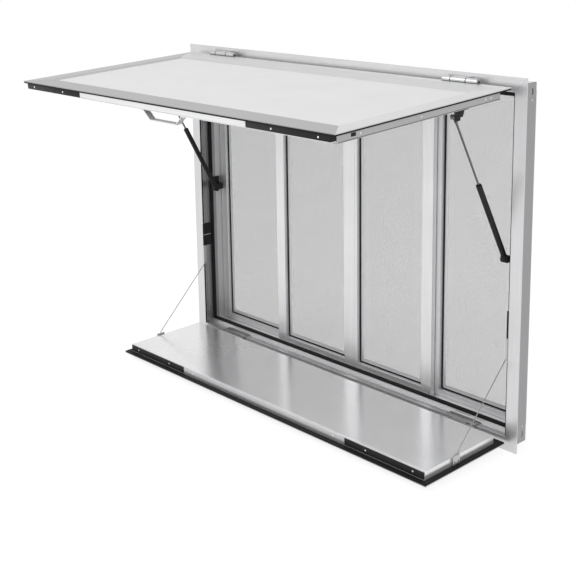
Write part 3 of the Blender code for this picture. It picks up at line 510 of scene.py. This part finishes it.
for strip, run, (strip_look, strip_slot) in STRIP_RUNS:
    profile = bmesh.new()
    slab(profile, run, out(*STRIP_OUT), STRIP_UP)
    eased(profile, STRIP_EASE)
    made = piece(profile, f"front_strip_{strip}", strip_look, "awning", HATCH_PLACE)
    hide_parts(f"awning_strip_{strip}")
lip = bmesh.new()
slab(lip, (-STRIP_END, STRIP_END), out(*STRIP_OUT), LIP_UP)
piece(lip, "hatch_front_lip", BRIGHT_STRIP, "awning", HATCH_PLACE)
heads = bmesh.new()
rivets(heads, [(x, -STRIP_OUT[1], sum(STRIP_UP) / 2) for x in STRIP_RIVETS], (0, -1, 0), FRONT_RIVET)
piece(heads, "hatch_front_rivets", BRIGHT_STRIP, "awning", HATCH_PLACE)


# Hatch sides
# Four rivets hold each side of the boxed frame. A thin black sheet near the front is painted shade for the
# inside of its drain slot, and a fine black line is painted shade in the crease where the side's lower
# flange is folded in.
HATCH_SIDE, SHADE_SHEET_T = 581.0, 0.3
SIDE_RIVETS_OUT, SIDE_RIVETS_UP, SIDE_RIVET = (60.0, 80.0, 300.0, 486.0), -19.0, (2.4, 0.7)
DRAIN_SHADE_OUT, DRAIN_SHADE_UP = (500.0, 514.0), (-22.0, -14.0)
FOLD_SHADE_OUT, FOLD_SHADE_UP = (30.0, 550.0), (-27.6, -26.6)
for side, sign in SIDES:
    heads = bmesh.new()
    spots = [(sign * HATCH_SIDE, -far, SIDE_RIVETS_UP) for far in SIDE_RIVETS_OUT]
    rivets(heads, spots, (sign, 0, 0), SIDE_RIVET)
    piece(heads, f"hatch_side_rivets_{side}", BRIGHT_STRIP, "awning", HATCH_PLACE)
    # Painted shade: thin black sheets for the drain slot's dark inside and the fold's crease
    shade_sheets = bmesh.new()
    for sheet_out, sheet_up in ((DRAIN_SHADE_OUT, DRAIN_SHADE_UP), (FOLD_SHADE_OUT, FOLD_SHADE_UP)):
        slab(shade_sheets, aside(sign, HATCH_SIDE, HATCH_SIDE + SHADE_SHEET_T), out(*sheet_out), sheet_up)
    piece(shade_sheets, f"hatch_drain_and_fold_shade_{side}", PLASTIC, "awning", HATCH_PLACE)


# Bail handle
# One flat aluminium bar bent to a trapezoid, with a short foot at each end under the front rail.
HANDLE_PATH = ((-84.0, -30.8), (-75.0, -30.8), (-50.0, -52.3), (50.0, -52.3), (75.0, -30.8), (84.0, -30.8))
HANDLE_OUT, HANDLE_T, HANDLE_EASE = (537.0, 553.0), 3.0, 0.5


def prism(bm, outline, along):
    """A flat outline drawn out along a direction, all in millimetres."""
    face = bm.faces.new([bm.verts.new(mm(*corner)) for corner in outline])
    drawn = bmesh.ops.extrude_face_region(bm, geom=[face])["geom"]
    moved = [item for item in drawn if isinstance(item, bmesh.types.BMVert)]
    bmesh.ops.translate(bm, vec=mm(*along), verts=moved)


bar = bmesh.new()
upper = [(x, -HANDLE_OUT[0], up + HANDLE_T / 2) for x, up in HANDLE_PATH]
lower = [(x, -HANDLE_OUT[0], up - HANDLE_T / 2) for x, up in HANDLE_PATH]
prism(bar, upper + lower[::-1], (0.0, HANDLE_OUT[0] - HANDLE_OUT[1], 0.0))
eased(bar, HANDLE_EASE)
bail = piece(bar, "bail_handle", BRIGHT_STRIP, "awning", HATCH_PLACE)
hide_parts("awning_handle")


# Serving shelf
# A folded sheet top, brushed from side to side, over a core and a pale skin plate.
# Its sheen mirrors the window softly. Two fine lips run along its front fold, and a bright edge
# and a row of rivets along the strips below it.
SHELF_AXIS, SHELF_SLOPE = (0.0, -9.5, 20.0), math.radians(0.9)
SHELF_PLACE = Matrix.Translation(mm(*SHELF_AXIS)) @ Matrix.Rotation(SHELF_SLOPE, 4, "X")
SHELF_SHEET = metal_sheet(
    "brushed_sheet", tone=0.88, rough=0.20, lines=ALONG_X, metallic=0.7, streak=0.03, relief=0.10
)
SHELF_STRIP = metal_sheet("satin_strip", tone=0.62, rough=0.34, lines=ALONG_X)
FOLD_END, FOLDS = 580.0, (((281.0, 283.4), (20.0, 20.9)), ((276.4, 278.0), (20.0, 20.4)))
EDGE_END, EDGE_OUT, EDGE_UP = 579.6, (283.9, 285.4), (-1.1, 0.2)
SHELF_RIVETS_X = (-545.0, -394.0, -282.0, 282.0, 394.0, 545.0)
SHELF_RIVETS_OUT, SHELF_RIVETS_UP = 285.2, 9.2
dress(("shelf_top", "shelf_core"), SHELF_SHEET)
dress(("shelf_skin",), PANEL)
dress(("shelf_seal",), RUBBER)
dress(("shelf_strip_left", "shelf_strip_right"), PLASTIC)
dress(("shelf_strip_middle",), SHELF_STRIP)
folds = bmesh.new()
for fold_out, fold_up in FOLDS:
    slab(folds, (-FOLD_END, FOLD_END), out(*fold_out), fold_up)
piece(folds, "shelf_fold_lips", SHELF_SHEET, "shelf", SHELF_PLACE)
edge = bmesh.new()
slab(edge, (-EDGE_END, EDGE_END), out(*EDGE_OUT), EDGE_UP)
piece(edge, "shelf_strip_edge", BRIGHT_STRIP, "shelf", SHELF_PLACE)
heads = bmesh.new()
rivets(heads, [(x, -SHELF_RIVETS_OUT, SHELF_RIVETS_UP) for x in SHELF_RIVETS_X], (0, -1, 0), FRONT_RIVET)
piece(heads, "shelf_front_rivets", BRIGHT_STRIP, "shelf", SHELF_PLACE)


# Hinges, cable eyes and clips
# Bright zinc plated steel: hinge leaves with rolled knuckles, an eye below each latch
# and a clip on each side of the shelf.
STEEL_KINDS = (
    "awning_hinge", "awning_hinge_leaf", "shelf_hinge", "shelf_hinge_leaf", "cable_eye", "shelf_clip"
)
BRIGHT_STEEL = metal_sheet(
    "bright_steel", tone=0.52, rough=0.30, lines=ALONG_X, metallic=1.0, streak=0.04, relief=0.05
)
for side, sign in SIDES:
    dress([f"{kind}_{side}" for kind in STEEL_KINDS], BRIGHT_STEEL)


# Latch blocks
# A black block on each jamb, where the closed leaves meet.
# A bright steel line crosses its face at that height.
LATCH_LINE_X, LATCH_LINE_Y, LATCH_LINE_Z = (586.5, 586.8), (-3.0, 24.5), (317.0, 319.0)
for side, sign in SIDES:
    dress((f"latch_block_{side}",), PLASTIC)
    line = bmesh.new()
    slab(line, aside(sign, *LATCH_LINE_X), LATCH_LINE_Y, LATCH_LINE_Z)
    piece(line, f"latch_line_{side}", BRIGHT_STEEL, "frame")


# Casing rivets
# Two domed steel rivets close each outer side of the casing, one near the sill
# and one near the head.
CASING_SIDE, CASING_RIVETS_Y, CASING_RIVETS_Z, CASING_RIVET = 611.0, 38.5, (49.0, 861.0), (3.0, 1.0)
for side, sign in SIDES:
    heads = bmesh.new()
    spots = [(sign * CASING_SIDE, CASING_RIVETS_Y, z) for z in CASING_RIVETS_Z]
    rivets(heads, spots, (sign, 0, 0), CASING_RIVET)
    piece(heads, f"casing_rivets_{side}", BRIGHT_STEEL, "frame")


# Clip bolts
# Two dark screws hold each cable clip to the shelf's side.
# Their heads are flat and rise just clear of the clip.
CLIP_FACE, BOLTS_OUT, BOLTS_UP, BOLT = 586.3, (169.0, 182.0), 8.0, (2.2, 0.2)
for side, sign in SIDES:
    heads = bmesh.new()
    rivets(heads, [(sign * CLIP_FACE, -far, BOLTS_UP) for far in BOLTS_OUT], (sign, 0, 0), BOLT)
    piece(heads, f"clip_bolts_{side}", PLASTIC, "shelf", SHELF_PLACE)


# Strut brackets
# Black brackets at both ends of the struts: one on each jamb, one under each side of the hatch.
# A tapered wedge under the hatch stiffens each upper one beside its ear.
WEDGE = ((150.0, -31.6), (176.0, -31.6), (168.0, -46.0), (156.0, -46.0))
WEDGE_X, WEDGE_EASE = (565.2, 577.0), 1.2
for side, sign in SIDES:
    dress((f"strut_bracket_{side}",), PLASTIC)
    wedge = bmesh.new()
    outline = [(sign * WEDGE_X[0], -far, up) for far, up in WEDGE]
    prism(wedge, outline, (sign * (WEDGE_X[1] - WEDGE_X[0]), 0.0, 0.0))
    eased(wedge, WEDGE_EASE)
    piece(wedge, f"head_wedge_{side}", PLASTIC, "awning", HATCH_PLACE)


# Gas struts
# A black cylinder on each side, and a thin dark rod that runs out of it
# to a crimped neck and a round end boss.
STRUT_FOOT, STRUT_LEAN = (555.0, 25.5, 471.0), math.asin(0.479265)
ROD_R, NECK_R, BOSS_R, BOSS_W, BOSS_SIDES = 2.6, 4.0, 6.0, 14.6, 32
ROD_START, ROD_END, NECK_START, NECK_END, BOSS_AT = 188.0, 404.0, 406.0, 416.5, 421.55
ROD_PROFILE = (
    (0.0, ROD_START),
    (ROD_R, ROD_START),
    (ROD_R, ROD_END),
    (NECK_R, NECK_START),
    (NECK_R, NECK_END),
    (0.0, NECK_END),
)
TURN_STEPS, MERGE = 32, 0.001 * MM
DARK_ROD = metal_sheet("dark_rod", tone=0.16, rough=0.28, lines=EVERY_WAY, metallic=0.9)


def turned(profile):
    """A solid of revolution about Z, from (radius, height) points in millimetres."""
    bm = bmesh.new()
    verts = [bm.verts.new(mm(radius, 0.0, height)) for radius, height in profile]
    edges = [bm.edges.new(pair) for pair in zip(verts, verts[1:])]
    turning = {"cent": (0, 0, 0), "axis": (0, 0, 1), "angle": math.tau, "use_merge": True}
    bmesh.ops.spin(bm, geom=verts + edges, steps=TURN_STEPS, **turning)
    bmesh.ops.remove_doubles(bm, verts=bm.verts, dist=MERGE)
    return bm


def barrel(bm, middle, radius, width, sides):
    """A cylinder that lies across the window, in millimetres."""
    place = Matrix.Translation(mm(*middle)) @ Matrix.Rotation(math.pi / 2, 4, "Y")
    size = {"radius1": radius * MM, "radius2": radius * MM, "depth": width * MM}
    bmesh.ops.create_cone(bm, cap_ends=True, segments=sides, matrix=place, **size)


for side, sign in SIDES:
    dress((f"strut_{side}_cylinder",), PLASTIC)
    rod = turned(ROD_PROFILE)
    barrel(rod, (0.0, 0.0, BOSS_AT), BOSS_R, BOSS_W, BOSS_SIDES)
    x, y, z = STRUT_FOOT
    place = Matrix.Translation(mm(sign * x, y, z)) @ Matrix.Rotation(STRUT_LEAN, 4, "X")
    made = piece(rod, f"gas_strut_rod_{side}", DARK_ROD, f"strut_{side}_piston", place)
    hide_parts(f"strut_{side}_rod")


# Shelf cables
# Taut stays of coated wire rope, from an eye on each jamb to a clip on the shelf's side.
# On the real shelf each folds inward as the shelf closes; here each is one fixed straight rope, tied to no
# body.
CABLE_X, CABLE_TOP, CABLE_FOOT = 585.2, (0.5, 231.0), (-185.4, 42.7)
CABLE_R, CABLE_RINGS = 1.2, 40
WIRE_LINES = (500.0, 500.0, 900.0)
WIRE_ROPE = metal_sheet("wire_rope", tone=0.32, rough=0.42, lines=WIRE_LINES, streak=0.35, relief=0.5)
for side, sign in SIDES:
    top, foot = Vector(mm(sign * CABLE_X, *CABLE_TOP)), Vector(mm(sign * CABLE_X, *CABLE_FOOT))
    length = (foot - top).length / MM
    rings = [(CABLE_R, length * i / CABLE_RINGS) for i in range(CABLE_RINGS + 1)]
    rope = turned([(0.0, 0.0)] + rings + [(0.0, length)])
    slanting = Matrix.Translation(top) @ (foot - top).to_track_quat("Z", "Y").to_matrix().to_4x4()
    made = piece(rope, f"wire_rope_{side}", WIRE_ROPE, None, slanting)
    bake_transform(made)
    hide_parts(f"cable_{side}")


# Hinge pins and knuckle joints
# Black discs on the ends of the upper hinge pins stand for the pin ends and the painted shade on the
# barrels' end faces.
# A black ring at each end of the fixed middle knuckle is painted shade, in the gap where the others turn on
# it.
HINGE_X = 446.0
KNUCKLE_JOINTS, KNUCKLE_R, KNUCKLE_SIDES = ((-29.4, -27.4), (17.4, 19.4)), 8.12, 32
PIN_END_SHADE_X, PIN_END_SHADE_R, PIN_END_SHADE_W, PIN_END_SHADE_SIDES = (391.5, 500.5), 3.0, 1.0, 24
knuckle_gap_shades, pin_end_shades = bmesh.new(), bmesh.new()
for side, sign in SIDES:
    for low, high in KNUCKLE_JOINTS:
        middle = (sign * HINGE_X + (low + high) / 2, *HATCH_AXIS[1:])
        barrel(knuckle_gap_shades, middle, KNUCKLE_R, high - low, KNUCKLE_SIDES)
    for x in PIN_END_SHADE_X:
        barrel(pin_end_shades, (sign * x, *HATCH_AXIS[1:]), PIN_END_SHADE_R, PIN_END_SHADE_W, PIN_END_SHADE_SIDES)
# Painted shade: black rings in the gaps between the knuckles
piece(knuckle_gap_shades, "knuckle_gap_shade", PLASTIC, "frame")
# Black pin ends, which also carry the painted shade of the barrels' end faces
piece(pin_end_shades, "hinge_pin_ends_and_shade", PLASTIC, "frame")
